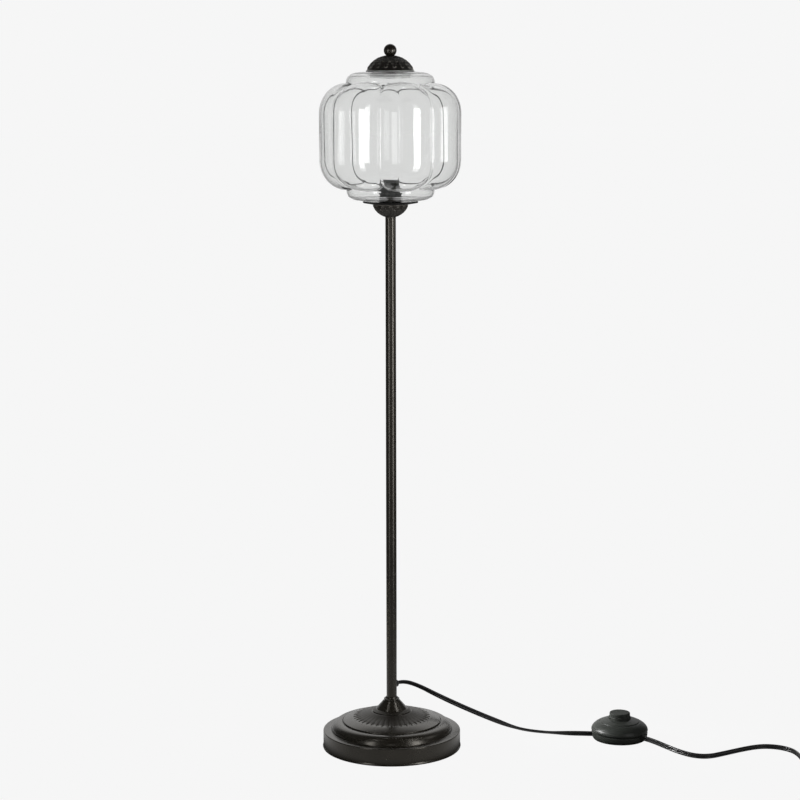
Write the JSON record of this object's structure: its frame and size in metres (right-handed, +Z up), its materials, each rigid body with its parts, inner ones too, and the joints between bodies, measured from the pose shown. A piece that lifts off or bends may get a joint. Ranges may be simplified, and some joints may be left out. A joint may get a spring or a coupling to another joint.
{
  "type": "floor lamp",
  "caption": "Slim floor lamp with a lobed clear-glass lantern, lift-off domed cap, dark metal pole on a stepped round base, and a cord with a foot switch and plug.",
  "frame": {"origin": "on the floor, under the pole's axis, at the middle of the base", "axes": "+Z up the pole, -Y towards the viewer of the picture, +X to the side where the cord lies"},
  "size_m": [0.6463, 0.2013, 0.8115],
  "materials": {
    "dark_bronze": "satin dark bronze lacquer",
    "cast_iron": "raw casting",
    "felt": "felt",
    "zinc_steel": "zinc plated",
    "black_plastic": "satin moulded",
    "insert_plastic": "matt moulded",
    "brass": "plain",
    "black_rubber": "matt",
    "clear_silicone": "translucent",
    "fibre": "vulcanised fibre",
    "clear_glass": "clear mould-blown glass",
    "black_pvc": "smooth PVC",
    "tie_strap": "woven strap",
    "nickel_pins": "nickel plated"
  },
  "bodies": {
    "stand": {"ballast_weight": "cast_iron", "base_cone": "dark_bronze", "base_lock_washer": "zinc_steel", "base_nipple": "zinc_steel", "base_nut": "zinc_steel", "base_pad": "felt", "base_shell": "dark_bronze", "base_washer": "zinc_steel", "centre_contact": "brass", "coil_tie": "tie_strap", "cord_bush": "black_rubber", "cord_coil": "black_pvc", "cord_in_pole": "black_pvc", "cord_tail": "black_pvc", "cord_to_coil": "black_pvc", "cord_to_switch": "black_pvc", "fibre_washer": "fibre", "gallery_cup": "dark_bronze", "gallery_nipple": "zinc_steel", "gallery_nut": "zinc_steel", "glass_shade": "clear_glass", "holder_cap": "black_plastic", "holder_insert": "insert_plastic", "holder_skirt": "black_plastic", "lower_gasket": "clear_silicone", "neck_ring": "dark_bronze", "plug_body": "black_pvc", "plug_pins": "nickel_pins", "plug_relief": "black_rubber", "pole_tube": "dark_bronze", "screw_shell": "brass", "shade_dish": "dark_bronze", "shade_ring": "black_plastic", "switch_bottom": "black_plastic", "switch_clamp_screws": "zinc_steel", "switch_contacts": "brass", "switch_cord_clamps": "black_plastic", "switch_dome": "black_plastic", "switch_feet": "black_rubber", "switch_housing_screws": "zinc_steel", "switch_latch": "insert_plastic", "switch_spring": "zinc_steel", "switch_terminal_screws": "zinc_steel"},
    "lid": {"cap_gasket": "clear_silicone", "seat_plate": "zinc_steel", "cap_dome": "dark_bronze", "finial_ball": "dark_bronze", "finial_stud": "zinc_steel", "finial_nut": "zinc_steel"},
    "button": {"switch_button": "black_plastic"}
  },
  "joints": [
    {"name": "cap_lift", "type": "slide", "parent": "stand", "child": "lid", "axis": [0, 0, 1], "range_m": [0, 0.15]},
    {"name": "button_press", "type": "slide", "parent": "stand", "child": "button", "axis": [0, 0, -1], "range_m": [0, 0.0035], "stiffness_N_per_m": 2000, "deforming": ["switch_spring"]}
  ]
}
